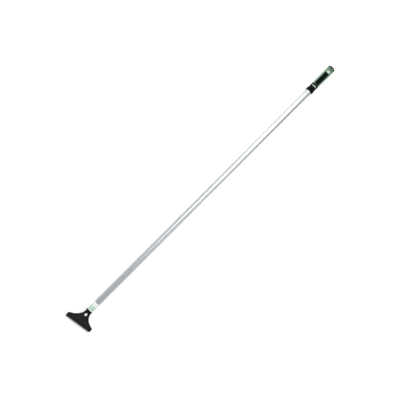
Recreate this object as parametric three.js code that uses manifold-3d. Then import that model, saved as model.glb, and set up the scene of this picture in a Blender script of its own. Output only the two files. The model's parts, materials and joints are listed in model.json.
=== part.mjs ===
// A long-handled algae scraper: a moulded head with a double-edged blade clamped under it, an aluminium
// pole, and a soft-faced grip with a hanging slot. It lies on its back, with the head's open face up.
// Millimetres. +X runs along the pole from the head to the grip, +Y across the blade, +Z up.
// The origin is on the floor, under the middle of the overall length.
import * as THREE from "three";
import { mergeVertices } from "three/addons/utils/BufferGeometryUtils.js";
import Module from "manifold-3d";

const wasm = await Module();
wasm.setup();

// ---------------------------------------------------------------- driving dimensions
const OVERALL_LENGTH = 1219; // cutting edge to the end of the grip, along the pole
const GAP = 0.2; // clearance between pieces that touch
const ROUND_FACETS = 48; // facets of the pole, the spigot and the grip
const SMALL_FACETS = 24; // facets of the fasteners

const BLADE = { width: 101.6, depth: 16.5, thickness: 0.8, bevel: 3, tip: 0.1 };

const HEAD = {
  bend: THREE.MathUtils.degToRad(8), // the plate rises from the pole's line towards the blade
  bladeToBend: 56, // cutting edge to the bend, along the plate
  bladeReach: 4.8, // blade that stands out of the front edge
  cheek: 1.3, // wall beside each end of the blade
  wingLength: 13.5, // straight side of each wing
  cornerRadius: 2,
  flareStart: 0.3, // slope of the concave flank where it leaves the wing
  baseZ: -2.9, // underside, below the pole's axis at the bend
  noseTop: 1.6, // rim height at the front edge
  heelTop: 4.6, // rim height at the neck
  rimWidth: 3,
  recess: 1,
  holeRadius: 5.5,
  holeFromEdge: 44.5, // hanging hole, from the cutting edge
};

const POLE = { radius: 11, wall: 1.2 };
const NECK = {
  radius: POLE.radius - 0.4, // the shoulder that the pole butts against
  length: 10,
  rampStart: -7,
  rampEnd: 5,
  overlap: 14,
  flankInset: 0.4,
  lip: 1,
};
const SPIGOT = { length: 38, wall: 3, floor: 6 };
const CRIMP = { fromEnd: 20, width: 4, depth: 0.7, ramp: 1.5 };
const LABEL = { length: 33.8, wall: 0.2, gap: 0.08, offset: 0.3 };

const CLAMP = { thickness: 1.8, inset: 2, setback: 0.9, rear: 36, chamfer: 0.9, ribHeight: 0.8, ribWidth: 3 };
const SCREW = {
  spacing: 30,
  fromEdge: 28,
  radius: 2,
  headRadius: 4,
  headHeight: 2.4,
  headCrown: 0.9,
  threadDepth: 4.4,
  pointLength: 0.5,
  recessWidth: 1.1,
  recessLength: 4.6,
  recessDepth: 1.4,
};
const LOCK_WASHER = { radius: 3.6, thickness: 1, split: 0.8 };
const FLAT_WASHER = { radius: 4.5, thickness: 0.8 };
const INSERT = { radius: 2.8, length: 3.9 };

// Each radius of the grip is the pole's and the wall that stands over it there.
const GRIP = {
  length: 112,
  turn: THREE.MathUtils.degToRad(20), // the grip's slot is turned this far from the head's face
  collarLength: 30,
  flangeRadius: POLE.radius + 2.8,
  flangeAt: 4.6,
  waistRadius: POLE.radius + 1.1,
  frontRadius: POLE.radius + 1.8, // core, where it meets the collar
  bodyRadius: POLE.radius + 2.1,
  capRadius: POLE.radius + 2.3,
  capLength: 6,
  poleFromEnd: 31, // solid core between the pole's end and the grip's end
  tailRadius: POLE.radius - 2,
  tailLength: 3.4,
};
const SLOT = { fromEnd: 16.2, length: 15.6, width: 9.8, web: 6.5 };
const DISH = { fromEnd: 16.7, length: 19.8, width: 17.4 }; // the sunk area round the slot, on both faces
const PAD = { start: 0.9, toDish: 1.2, width: 16, pocket: 0.85, proud: 0.3, frontCorner: 1.5, rearCorner: 6 };
const MARK = { start: 20.8, width: 4, halfAngle: THREE.MathUtils.degToRad(42), depth: 0.45, proud: 0.12 };

// ---------------------------------------------------------------- derived places
const wingHalf = BLADE.width / 2 + GAP + HEAD.cheek;
const frontX = HEAD.bladeReach - HEAD.bladeToBend; // x along the plate, 0 at the bend
const wingRearX = frontX + HEAD.wingLength;
const edgeX = -HEAD.bladeToBend;
const pocketTop = HEAD.baseZ + BLADE.thickness + GAP;
const bladeTopZ = pocketTop - GAP;
const clampTopZ = bladeTopZ - BLADE.thickness - GAP;
const clampBottomZ = clampTopZ - CLAMP.thickness;
const flatTopZ = clampBottomZ - GAP;
const lockTopZ = flatTopZ - FLAT_WASHER.thickness - GAP;
const screwSeatZ = lockTopZ - LOCK_WASHER.thickness - GAP;
const screwX = edgeX + SCREW.fromEdge;
const screwBore = SCREW.radius + GAP;

// The cutting edge in the pole's frame, whose x starts at the bend.
const bladeMidZ = bladeTopZ - BLADE.thickness / 2;
const tipX = edgeX * Math.cos(HEAD.bend) + bladeMidZ * Math.sin(HEAD.bend);
const poleStartX = NECK.length + GAP;
const gripEndX = tipX + OVERALL_LENGTH;
const gripStartX = gripEndX - GRIP.length;
const poleDepth = GRIP.length - GRIP.poleFromEnd; // pole inside the grip
const poleEndX = gripStartX + poleDepth;
const slotMiddle = GRIP.length - SLOT.fromEnd;
const dishMiddle = GRIP.length - DISH.fromEnd;
const padEnd = dishMiddle - DISH.length / 2 - PAD.toDish;
const rimSlope = (HEAD.heelTop - HEAD.noseTop) / -frontX;
const axisZ = Math.max(GRIP.flangeRadius, GRIP.capRadius, GRIP.bodyRadius);

// ---------------------------------------------------------------- materials
const paint = (color, roughness, metalness) => new THREE.MeshStandardMaterial({ color, roughness, metalness });
const blackNylon = paint(0x262725, 0.5, 0);
const brass = paint(0xb08d45, 0.35, 1);
const bladeSteel = paint(0xb9bcbe, 0.25, 1);
const zincSteel = paint(0xa9abac, 0.35, 1);
const satinAluminium = paint(0xc9cccd, 0.35, 1);
const labelPaper = paint(0xf3f5f1, 0.6, 0);
const greenPlastic = paint(0x0f5a2c, 0.25, 0);
const blackRubber = paint(0x151615, 0.7, 0);
const paleGreen = paint(0xa9c8b2, 0.4, 0);

// ---------------------------------------------------------------- geometry helpers
const positionsOnly = (geometry) => {
  const bare = geometry.index ? geometry.toNonIndexed() : geometry.clone();
  bare.deleteAttribute("normal");
  bare.deleteAttribute("uv");
  bare.clearGroups();
  return mergeVertices(bare, 1e-4);
};

function toSolid(geometry) {
  const merged = positionsOnly(geometry);
  const mesh = new wasm.Mesh({
    numProp: 3,
    vertProperties: merged.attributes.position.array,
    triVerts: new Uint32Array(merged.index.array),
  });
  return new wasm.Manifold(mesh);
}

function toGeometry(solid) {
  const mesh = solid.getMesh();
  const geometry = new THREE.BufferGeometry();
  geometry.setAttribute("position", new THREE.BufferAttribute(mesh.vertProperties, 3));
  geometry.setIndex(new THREE.BufferAttribute(mesh.triVerts, 1));
  geometry.computeVertexNormals();
  return geometry;
}

const join = (first, ...others) =>
  toGeometry(others.reduce((solid, other) => solid.add(toSolid(other)), toSolid(first)));
const cut = (first, ...others) =>
  toGeometry(others.reduce((solid, other) => solid.subtract(toSolid(other)), toSolid(first)));
const common = (first, other) => toGeometry(toSolid(first).intersect(toSolid(other)));

// A solid turned about the X axis from [x, radius] points that go from the low x end to the high one.
function turned(profile, facets = ROUND_FACETS) {
  const points = profile.map(([x, radius]) => new THREE.Vector2(radius, x));
  return new THREE.LatheGeometry(points, facets).rotateZ(-Math.PI / 2);
}

const rod = (x0, x1, radius, facets) =>
  turned([[x0, 0], [x0, radius], [x1, radius], [x1, 0]], facets);

// A ring about X: the outer profile is read forwards and the inner one back to where it started.
const ring = (outer, inner, facets) => turned([...outer, ...[...inner].reverse(), outer[0]], facets);

// A solid turned about the Z axis.
const uprightRod = (x, y, z0, z1, radius, facets) =>
  rod(z0, z1, radius, facets).rotateY(-Math.PI / 2).translate(x, y, 0);

const box = (x0, x1, y0, y1, z0, z1) =>
  new THREE.BoxGeometry(x1 - x0, y1 - y0, z1 - z0).translate((x0 + x1) / 2, (y0 + y1) / 2, (z0 + z1) / 2);

// An outline in X and Y, as a prism from z0 to z1.
const prism = (shape, z0, z1, curveSegments = 16) =>
  new THREE.ExtrudeGeometry(shape, { depth: z1 - z0, bevelEnabled: false, curveSegments }).translate(0, 0, z0);

// An outline in X and Z, as a prism across Y.
const crossPrism = (shape, halfWidth) =>
  new THREE.ExtrudeGeometry(shape, { depth: 2 * halfWidth, bevelEnabled: false })
    .rotateX(Math.PI / 2)
    .translate(0, halfWidth, 0);

// An outline in Y and Z, as a prism along X.
const lengthPrism = (shape, x0, x1, curveSegments = 16) =>
  new THREE.ExtrudeGeometry(shape, { depth: x1 - x0, bevelEnabled: false, curveSegments })
    .rotateX(Math.PI / 2)
    .rotateZ(Math.PI / 2)
    .translate(x0, 0, 0);

const polygon = (points) => new THREE.Shape(points.map(([x, y]) => new THREE.Vector2(x, y)));

function obround(centreX, length, width) {
  const reach = (length - width) / 2;
  const shape = new THREE.Shape();
  shape.absarc(centreX + reach, 0, width / 2, -Math.PI / 2, Math.PI / 2, false);
  shape.absarc(centreX - reach, 0, width / 2, Math.PI / 2, (3 * Math.PI) / 2, false);
  return shape;
}

// A rectangle along X, with its own corner radius at each end.
function roundedStrip(x0, x1, halfWidth, radius0, radius1) {
  const shape = new THREE.Shape();
  shape.absarc(x1 - radius1, halfWidth - radius1, radius1, 0, Math.PI / 2, false);
  shape.absarc(x0 + radius0, halfWidth - radius0, radius0, Math.PI / 2, Math.PI, false);
  shape.absarc(x0 + radius0, radius0 - halfWidth, radius0, Math.PI, (3 * Math.PI) / 2, false);
  shape.absarc(x1 - radius1, radius1 - halfWidth, radius1, (3 * Math.PI) / 2, 2 * Math.PI, false);
  return shape;
}

// A slice of a ring, centred on +Z, between two radii.
function ringSlice(innerRadius, outerRadius, halfAngle) {
  const shape = new THREE.Shape();
  shape.absarc(0, 0, outerRadius, Math.PI / 2 - halfAngle, Math.PI / 2 + halfAngle, false);
  shape.absarc(0, 0, innerRadius, Math.PI / 2 + halfAngle, Math.PI / 2 - halfAngle, true);
  return shape;
}

// A closed skin through rings of points, each ring in order, with flat ends.
function loft(rings) {
  const count = rings[0].length;
  const positions = rings.flat().flatMap((p) => [p.x, p.y, p.z]);
  const index = [];
  for (let r = 0; r + 1 < rings.length; r++) {
    for (let i = 0; i < count; i++) {
      const a = r * count + i;
      const b = r * count + ((i + 1) % count);
      index.push(a, b, a + count, b, b + count, a + count);
    }
  }
  const last = (rings.length - 1) * count;
  for (let i = 1; i + 1 < count; i++) {
    index.push(0, i + 1, i);
    index.push(last, last + i, last + i + 1);
  }
  const geometry = new THREE.BufferGeometry();
  geometry.setAttribute("position", new THREE.Float32BufferAttribute(positions, 3));
  geometry.setIndex(index);
  return geometry;
}

function named(name, geometry, material) {
  const mesh = new THREE.Mesh(geometry, material);
  mesh.name = name;
  return mesh;
}

// ---------------------------------------------------------------- head
// The head's outline in X and Y, counter-clockwise, in the plate's own frame, moved in by a margin.
// Each flank is a curve that leaves the wing at a low slope and ends along the neck.
function headOutline(margin = 0) {
  const corner = Math.max(HEAD.cornerRadius - margin / 2, HEAD.cornerRadius / 4);
  const front = frontX + margin;
  const side = wingHalf - margin;
  const rear = wingRearX - margin;
  const neckSide = NECK.radius - NECK.flankInset - margin;
  const bendX = rear + HEAD.flareStart * (side - neckSide);
  const endX = NECK.rampEnd - NECK.lip;
  const half = [
    ["moveTo", front, corner - side],
    ["quadraticCurveTo", front, -side, front + corner, -side],
    ["lineTo", rear - corner, -side],
    ["quadraticCurveTo", rear, -side, rear + HEAD.flareStart * corner, corner - side],
    ["quadraticCurveTo", bendX, -neckSide, endX, -neckSide],
  ];
  const shape = new THREE.Shape();
  half.forEach(([draw, ...numbers]) => shape[draw](...numbers));
  shape.lineTo(endX, neckSide);
  shape.quadraticCurveTo(bendX, neckSide, rear + HEAD.flareStart * corner, side - corner);
  shape.quadraticCurveTo(rear, side, rear - corner, side);
  shape.lineTo(front + corner, side);
  shape.quadraticCurveTo(front, side, front, side - corner);
  return shape;
}

// Everything above the head's sloping rim, lowered by a depth.
function aboveRim(depth) {
  const high = 4 * HEAD.heelTop;
  const heightAt = (x) => HEAD.heelTop + x * rimSlope - depth;
  const low = frontX - HEAD.wingLength;
  const far = HEAD.wingLength;
  const wedge = polygon([[low, heightAt(low)], [far, heightAt(far)], [far, high], [low, high]]);
  return crossPrism(wedge, 2 * wingHalf);
}

function bladePocket() {
  const half = BLADE.width / 2 + GAP;
  const rear = edgeX + BLADE.depth + GAP;
  return box(edgeX - BLADE.depth, rear, -half, half, HEAD.baseZ - 1, pocketTop);
}

// One upright rod at each screw, from z0 to z1.
const atScrews = (z0, z1, radius) =>
  [-1, 1].map((side) => uprightRod(screwX, (side * SCREW.spacing) / 2, z0, z1, radius, SMALL_FACETS));

const headSlab = () => cut(prism(headOutline(), HEAD.baseZ, 2 * HEAD.heelTop, 12), aboveRim(0));

// The sunk face inside the rim, as far as the neck's ramp.
function faceRecess() {
  const high = 2 * HEAD.heelTop;
  const area = prism(headOutline(HEAD.rimWidth), HEAD.baseZ, high, 12);
  const length = box(edgeX, NECK.rampStart, -wingHalf, wingHalf, HEAD.baseZ - 1, high + 1);
  return common(common(area, length), aboveRim(HEAD.recess));
}

// How far along the ramp from the plate to the round neck a place is, from 0 to 1.
const rampAt = (x) => THREE.MathUtils.smoothstep(x, NECK.rampStart, NECK.rampEnd);

// The height, in the pole's frame, of a line that the plate's frame holds as height + slope * x.
function plateLine(x, height, slope) {
  const angle = Math.atan(slope) - HEAD.bend;
  return height * Math.cos(HEAD.bend) + (x - height * Math.sin(HEAD.bend)) * Math.tan(angle);
}

// The neck's top line climbs from the plate's rim to the round, and its bottom line falls to it.
const neckTop = (x) => THREE.MathUtils.lerp(plateLine(x, HEAD.heelTop - GAP, rimSlope), NECK.radius, rampAt(x));
const neckBottom = (x) => THREE.MathUtils.lerp(plateLine(x, HEAD.baseZ + GAP, 0), -NECK.radius, rampAt(x));

// From the plate's flat section to the round shoulder that the pole butts against.
function neck() {
  const steps = 12;
  const rings = [];
  for (let i = 0; i <= steps; i++) {
    const x = -NECK.overlap + ((NECK.overlap + NECK.length) * i) / steps;
    const middle = (neckTop(x) + neckBottom(x)) / 2;
    const halfHeight = (neckTop(x) - neckBottom(x)) / 2;
    const squareness = THREE.MathUtils.lerp(0.35, 1, rampAt(x));
    rings.push(
      Array.from({ length: ROUND_FACETS }, (_, k) => {
        const turn = (2 * Math.PI * k) / ROUND_FACETS;
        const across = Math.sign(Math.cos(turn)) * Math.abs(Math.cos(turn)) ** squareness;
        const up = Math.sign(Math.sin(turn)) * Math.abs(Math.sin(turn)) ** squareness;
        return new THREE.Vector3(x, NECK.radius * across, middle + halfHeight * up);
      }),
    );
  }
  return loft(rings);
}

// The recess goes on up the neck's ramp as a channel, and stops at a lip.
function neckChannel() {
  const start = NECK.rampStart - HEAD.recess;
  const end = NECK.rampEnd - NECK.lip;
  const steps = 10;
  const floor = Array.from({ length: steps + 1 }, (_, i) => {
    const x = start + ((end - start) * i) / steps;
    return [x, neckTop(x) + GAP - HEAD.recess];
  });
  const high = 2 * NECK.radius;
  return crossPrism(polygon([...floor, [end, high], [start, high]]), NECK.radius - HEAD.rimWidth);
}

// The hollow spigot that the pole is pushed over, with the groove that the crimp bites into.
function spigot() {
  const radius = POLE.radius - POLE.wall - GAP;
  const grooveStart = poleStartX + CRIMP.fromEnd;
  const floor = radius - CRIMP.depth;
  const end = poleStartX + SPIGOT.length;
  const start = NECK.rampEnd;
  const outer = [
    [start, 0],
    [start, radius],
    [grooveStart - CRIMP.ramp, radius],
    [grooveStart, floor],
    [grooveStart + CRIMP.width, floor],
    [grooveStart + CRIMP.width + CRIMP.ramp, radius],
    [end - 1, radius],
    [end, radius - 1],
  ];
  const bore = [
    [end, floor - SPIGOT.wall],
    [NECK.length + SPIGOT.floor, floor - SPIGOT.wall],
    [NECK.length + SPIGOT.floor, 0],
  ];
  return turned([...outer, ...bore]);
}

function hangingHole() {
  const x = edgeX + HEAD.holeFromEdge;
  const reach = 3 * HEAD.heelTop;
  return uprightRod(x, 0, -reach, reach, HEAD.holeRadius, ROUND_FACETS);
}

function headBody() {
  const insertHoles = atScrews(HEAD.baseZ - 1, HEAD.baseZ + SCREW.threadDepth, INSERT.radius + GAP);
  const plateCuts = [faceRecess(), bladePocket(), hangingHole(), ...insertHoles];
  const whole = join(headSlab().rotateY(HEAD.bend), neck(), spigot());
  const cuts = plateCuts.map((geometry) => geometry.rotateY(HEAD.bend));
  return named("head_body", cut(whole, neckChannel(), ...cuts), blackNylon);
}

// ---------------------------------------------------------------- blade and its clamp
function blade() {
  const { depth, thickness, bevel, tip } = BLADE;
  const section = polygon([
    [0, -tip / 2],
    [bevel, -thickness / 2],
    [depth - bevel / 2, -thickness / 2],
    [depth, -tip],
    [depth, tip],
    [depth - bevel / 2, thickness / 2],
    [bevel, thickness / 2],
    [0, tip / 2],
  ]);
  const geometry = crossPrism(section, BLADE.width / 2).translate(edgeX, 0, bladeMidZ);
  return named("scraper_blade", geometry, bladeSteel);
}

function clampPlate() {
  const front = frontX + CLAMP.setback;
  const rear = edgeX + CLAMP.rear;
  const area = prism(headOutline(CLAMP.inset), clampBottomZ, clampTopZ, 12);
  const plate = common(area, box(front, rear, -wingHalf, wingHalf, clampBottomZ - 1, clampTopZ + 1));
  const leading = polygon([
    [front - 1, clampBottomZ - 1],
    [front + 2 * CLAMP.chamfer, clampBottomZ - 1],
    [front + 2 * CLAMP.chamfer, clampBottomZ],
    [front, clampBottomZ + CLAMP.chamfer],
    [front - 1, clampBottomZ + CLAMP.chamfer],
  ]);
  const ribX = (front + edgeX + BLADE.depth) / 2;
  const ribFoot = clampBottomZ + CLAMP.thickness / 2;
  const ribSection = polygon([
    [ribX - CLAMP.ribWidth, ribFoot],
    [ribX - CLAMP.ribWidth / 2, clampBottomZ - CLAMP.ribHeight],
    [ribX + CLAMP.ribWidth / 2, clampBottomZ - CLAMP.ribHeight],
    [ribX + CLAMP.ribWidth, ribFoot],
  ]);
  const rib = crossPrism(ribSection, wingHalf - HEAD.cheek - 4 * CLAMP.inset);
  const holes = atScrews(clampBottomZ - 1, clampTopZ + 1, screwBore + GAP);
  return named("clamp_plate", cut(join(plate, rib), crossPrism(leading, wingHalf), ...holes), zincSteel);
}

// A plain round piece about a screw: an insert or a washer.
function bushing(side, bottom, top, radius) {
  const y = (side * SCREW.spacing) / 2;
  const disc = uprightRod(screwX, y, bottom, top, radius, SMALL_FACETS);
  return cut(disc, uprightRod(screwX, y, bottom - 1, top + 1, screwBore, SMALL_FACETS));
}

const threadedInsert = (name, side) =>
  named(name, bushing(side, HEAD.baseZ, HEAD.baseZ + INSERT.length, INSERT.radius), brass);

const flatWasher = (name, side) =>
  named(name, bushing(side, flatTopZ - FLAT_WASHER.thickness, flatTopZ, FLAT_WASHER.radius), zincSteel);

// The spring washer is split on the side away from the blade.
function lockWasher(name, side) {
  const bottom = lockTopZ - LOCK_WASHER.thickness;
  const reach = LOCK_WASHER.radius + 1;
  const half = LOCK_WASHER.split / 2;
  const y = (side * SCREW.spacing) / 2;
  const split = box(screwX, screwX + reach, y - half, y + half, bottom - 1, lockTopZ + 1);
  return named(name, cut(bushing(side, bottom, lockTopZ, LOCK_WASHER.radius), split), zincSteel);
}

// A pan-head screw with a cross recess, its head downwards.
function clampScrew(name, side) {
  const { radius, headRadius, headHeight, headCrown, recessWidth, recessLength, recessDepth } = SCREW;
  const tip = HEAD.baseZ + SCREW.threadDepth - GAP;
  const face = screwSeatZ - headHeight;
  const profile = [
    [face, 0],
    [face, headRadius - headCrown],
    [face + headCrown, headRadius],
    [screwSeatZ, headRadius],
    [screwSeatZ, radius],
    [tip - SCREW.pointLength, radius],
    [tip, radius - SCREW.pointLength],
    [tip, 0],
  ];
  const body = turned(profile, SMALL_FACETS).rotateY(-Math.PI / 2);
  const half = recessLength / 2;
  const thin = recessWidth / 2;
  const slots = [
    box(-half, half, -thin, thin, face - 1, face + recessDepth),
    box(-thin, thin, -half, half, face - 1, face + recessDepth),
  ];
  const geometry = cut(body, ...slots).translate(screwX, (side * SCREW.spacing) / 2, 0);
  return named(name, geometry, zincSteel);
}

// ---------------------------------------------------------------- pole
function poleTube() {
  const grooveStart = poleStartX + CRIMP.fromEnd;
  const grooveEnd = grooveStart + CRIMP.width;
  const wallAt = (radius) => [
    [poleStartX, radius],
    [grooveStart - CRIMP.ramp, radius],
    [grooveStart, radius - CRIMP.depth],
    [grooveEnd, radius - CRIMP.depth],
    [grooveEnd + CRIMP.ramp, radius],
    [poleEndX, radius],
  ];
  return named("pole_tube", ring(wallAt(POLE.radius), wallAt(POLE.radius - POLE.wall)), satinAluminium);
}

function labelSleeve() {
  const start = poleStartX + LABEL.offset;
  const inner = POLE.radius + LABEL.gap;
  const outer = inner + LABEL.wall;
  const end = start + LABEL.length - LABEL.offset;
  const geometry = ring([[start, outer], [end, outer]], [[start, inner], [end, inner]]);
  return named("label_sleeve", geometry, labelPaper);
}

// ---------------------------------------------------------------- grip, x from its mouth
const boreRadius = POLE.radius + GAP;

function gripCollar() {
  const { collarLength, flangeRadius, flangeAt, waistRadius, frontRadius } = GRIP;
  const lip = flangeRadius - POLE.radius;
  const outer = [
    [0, boreRadius + 0.2 * lip],
    [0.1 * flangeAt, boreRadius + 0.55 * lip],
    [0.35 * flangeAt, flangeRadius - 0.25 * lip],
    [0.7 * flangeAt, flangeRadius - 0.05 * lip],
    [flangeAt, flangeRadius],
    [1.5 * flangeAt, flangeRadius - 0.12 * lip],
    [2.1 * flangeAt, waistRadius + 0.15 * lip],
    [2.7 * flangeAt, waistRadius],
    [0.75 * collarLength, waistRadius + 0.05],
    [collarLength, frontRadius],
  ];
  const body = ring(outer, [[0, boreRadius], [collarLength, boreRadius]]);
  const markSeat = lengthPrism(
    ringSlice(waistRadius - MARK.depth - GAP, 2 * waistRadius, MARK.halfAngle + GAP / waistRadius),
    MARK.start - GAP,
    MARK.start + MARK.width + GAP,
  );
  return named("grip_collar", cut(body, markSeat), blackRubber);
}

function gripMark() {
  const slice = ringSlice(GRIP.waistRadius - MARK.depth, GRIP.waistRadius + MARK.proud, MARK.halfAngle);
  return named("grip_mark", lengthPrism(slice, MARK.start, MARK.start + MARK.width), paleGreen);
}

// The core's outer line: a slight barrel from the collar to the cap.
function coreLine(radiusOffset = 0) {
  const start = GRIP.collarLength + GAP;
  const end = GRIP.length - GRIP.capLength;
  const steps = 8;
  return Array.from({ length: steps + 1 }, (_, i) => {
    const x = start + ((end - start) * i) / steps;
    const swell = Math.sin((Math.PI / 2) * Math.min(1, (1.6 * i) / steps));
    return [x, THREE.MathUtils.lerp(GRIP.frontRadius, GRIP.bodyRadius, swell) + radiusOffset];
  });
}

// The area of a soft pad, seen from above, as a prism on one side of the core.
const padArea = (side, grow) =>
  prism(
    roundedStrip(
      GRIP.collarLength + PAD.start - grow,
      padEnd + grow,
      PAD.width / 2 + grow,
      PAD.frontCorner + grow,
      PAD.rearCorner + grow,
    ),
    side > 0 ? 0 : -2 * GRIP.bodyRadius,
    side > 0 ? 2 * GRIP.bodyRadius : 0,
  );

// A shell that follows the core, from a depth below its surface to a height above it.
const coreShell = (below, above) => ring(coreLine(above), coreLine(-below));

function gripPad(name, side) {
  const shell = coreShell(PAD.pocket - GAP, PAD.proud);
  return named(name, common(shell, padArea(side, 0)), blackRubber);
}

// The hanging slot goes right through the web that the two dishes leave.
function hangingSlot() {
  const reach = 2 * GRIP.bodyRadius;
  const dish = obround(dishMiddle, DISH.length, DISH.width);
  return [
    prism(obround(slotMiddle, SLOT.length, SLOT.width), -reach, reach, 10),
    prism(dish, SLOT.web / 2, reach, 12),
    prism(dish, -reach, -SLOT.web / 2, 12),
  ];
}

function gripCore() {
  const line = coreLine();
  const start = line[0][0];
  const end = line[line.length - 1][0];
  const blindEnd = poleDepth + GAP;
  const body = turned([
    ...line,
    [end, GRIP.tailRadius],
    [end + GRIP.tailLength, GRIP.tailRadius],
    [end + GRIP.tailLength, 0],
    [blindEnd, 0],
    [blindEnd, boreRadius],
    [start, boreRadius],
    line[0],
  ]);
  const pockets = [-1, 1].map((side) => {
    const seat = coreShell(PAD.pocket, GRIP.bodyRadius);
    return common(seat, padArea(side, GAP));
  });
  return named("grip_core", cut(body, ...hangingSlot(), ...pockets), greenPlastic);
}

function endCap() {
  const start = GRIP.length - GRIP.capLength + GAP;
  const seat = GRIP.length - GRIP.capLength + GRIP.tailLength + GAP;
  const { capRadius, tailRadius, length } = GRIP;
  const body = turned([
    [start, tailRadius + GAP],
    [start, capRadius - 0.4],
    [start + 0.4, capRadius],
    [length - 2.2, capRadius],
    [length - 1.2, capRadius - 0.6],
    [length - 0.4, capRadius - 2.2],
    [length, capRadius - 5],
    [length, 0],
    [seat, 0],
    [seat, tailRadius + GAP],
    [start, tailRadius + GAP],
  ]);
  return named("end_cap", body, blackRubber);
}

// ---------------------------------------------------------------- assembly
function headGroup() {
  const group = new THREE.Group();
  group.rotation.y = HEAD.bend;
  group.add(
    blade(),
    clampPlate(),
    threadedInsert("threaded_insert_left", 1),
    threadedInsert("threaded_insert_right", -1),
    flatWasher("flat_washer_left", 1),
    flatWasher("flat_washer_right", -1),
    lockWasher("lock_washer_left", 1),
    lockWasher("lock_washer_right", -1),
    clampScrew("clamp_screw_left", 1),
    clampScrew("clamp_screw_right", -1),
  );
  return group;
}

function gripGroup() {
  const group = new THREE.Group();
  group.position.x = gripStartX;
  group.rotation.x = -GRIP.turn;
  group.add(
    gripCollar(),
    gripMark(),
    gripCore(),
    gripPad("grip_pad_top", 1),
    gripPad("grip_pad_bottom", -1),
    endCap(),
  );
  return group;
}

const scraper = new THREE.Group();
scraper.position.set(-(tipX + gripEndX) / 2, 0, axisZ);
scraper.add(headBody(), headGroup(), poleTube(), labelSleeve(), gripGroup());

export default scraper;
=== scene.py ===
# %% [markdown]
# # A long-handled algae scraper
#
# The tool has three parts in a row: a moulded black head that holds a steel blade, a satin aluminium
# pole, and a green and black grip with a hanging slot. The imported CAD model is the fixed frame: it
# says how big every piece is and where it sits. This lesson gives each piece its fine shape and its
# finish, one piece at a time, and leaves the frame where it is.

# %% Load the frame
import json
import math
import bmesh
import bpy
from mathutils import Matrix, Vector


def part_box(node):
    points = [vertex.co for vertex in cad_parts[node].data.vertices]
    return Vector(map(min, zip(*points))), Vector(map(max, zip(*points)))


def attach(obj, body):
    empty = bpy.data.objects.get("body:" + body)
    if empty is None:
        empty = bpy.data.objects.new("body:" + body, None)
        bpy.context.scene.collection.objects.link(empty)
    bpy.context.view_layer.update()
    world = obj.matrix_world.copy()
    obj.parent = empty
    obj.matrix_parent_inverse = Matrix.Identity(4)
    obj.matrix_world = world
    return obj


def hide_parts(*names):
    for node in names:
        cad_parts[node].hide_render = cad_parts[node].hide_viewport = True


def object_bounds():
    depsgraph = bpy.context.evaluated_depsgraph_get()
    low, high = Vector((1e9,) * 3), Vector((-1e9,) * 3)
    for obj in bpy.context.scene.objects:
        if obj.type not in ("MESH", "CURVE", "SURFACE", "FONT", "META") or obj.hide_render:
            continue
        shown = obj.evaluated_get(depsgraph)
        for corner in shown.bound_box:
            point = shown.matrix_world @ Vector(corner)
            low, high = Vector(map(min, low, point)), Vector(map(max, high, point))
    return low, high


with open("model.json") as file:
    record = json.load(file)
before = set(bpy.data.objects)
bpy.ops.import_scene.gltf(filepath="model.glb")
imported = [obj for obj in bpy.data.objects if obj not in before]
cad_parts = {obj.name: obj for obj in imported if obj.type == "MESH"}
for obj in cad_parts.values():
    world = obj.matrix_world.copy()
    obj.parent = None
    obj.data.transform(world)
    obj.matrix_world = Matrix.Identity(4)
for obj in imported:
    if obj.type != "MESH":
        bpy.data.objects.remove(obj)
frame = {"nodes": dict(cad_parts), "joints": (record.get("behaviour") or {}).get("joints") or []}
cad_low, cad_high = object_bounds()
scene = bpy.context.scene
MM = 0.001
print("nodes", len(frame["nodes"]), "size in mm", [round(s / MM, 1) for s in cad_high - cad_low])

# %% [markdown]
# ## Where things are
#
# Everything is measured from the frame. The pole's box gives the axis and the radius. The head is
# bent up from the pole, and the clamp's joint moves square to the head's plate, so the joint's axis
# gives the bend. Places on the head are easiest to write in the plate's own frame: x from the bend
# towards the grip, y across the blade, z up out of the plate.

# %% Read the driving sizes
pole_low, pole_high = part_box("pole_tube")
axis_z = (pole_low.z + pole_high.z) / 2
pole_radius = (pole_high.y - pole_low.y) / 2
pole_start, pole_end = pole_low.x, pole_high.x

clamp_axis = next(j["axis"] for j in frame["joints"] if j["name"] == "clamp_drop")
head_bend = math.atan2(-clamp_axis[0], -clamp_axis[2])

gap = 0.2 * MM
neck_length = 10 * MM
bend_x = pole_start - gap - neck_length
plate_to_row = Matrix.Translation((bend_x, 0, axis_z)) @ Matrix.Rotation(head_bend, 4, "Y")
print("bend in degrees", round(math.degrees(head_bend), 2), "pole radius in mm", round(pole_radius / MM, 2))
print("bend at x in mm", round(bend_x / MM, 2), "pole axis at z in mm", round(axis_z / MM, 2))

# %% [markdown]
# ## The camera
#
# The tool is seen from above, a little to one side of the pole, with the camera turned so that the
# pole runs from the lower left corner to the upper right. The camera looks square at the pole from
# 1.5 m, and it is moved a little in its own plane to place the tool in the frame.

# %% Make the camera
view_roll = math.radians(21.7)
view_distance = 1.5
along = Vector((1, 0, 0))
backward = Vector((0, math.sin(view_roll), math.cos(view_roll)))
across = backward.cross(along) * -1
right = (along + across).normalized()
upward = (along - across).normalized()

camera_data = bpy.data.cameras.new("camera")
camera_data.lens = 40
camera_data.sensor_width = 36
camera_data.clip_start = 0.05
camera_data.clip_end = 30
camera = bpy.data.objects.new("camera", camera_data)
scene.collection.objects.link(camera)
middle = Vector((0, 0, axis_z))
shift_left, shift_down = 14.5, 13.7
camera.location = middle + backward * view_distance - right * shift_left * MM - upward * shift_down * MM
axes = Matrix((right, upward, backward)).transposed()
camera.rotation_euler = axes.to_euler()
scene.camera = camera
print("camera at", [round(c, 3) for c in camera.location], "handed", round(axes.determinant(), 3))

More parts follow.
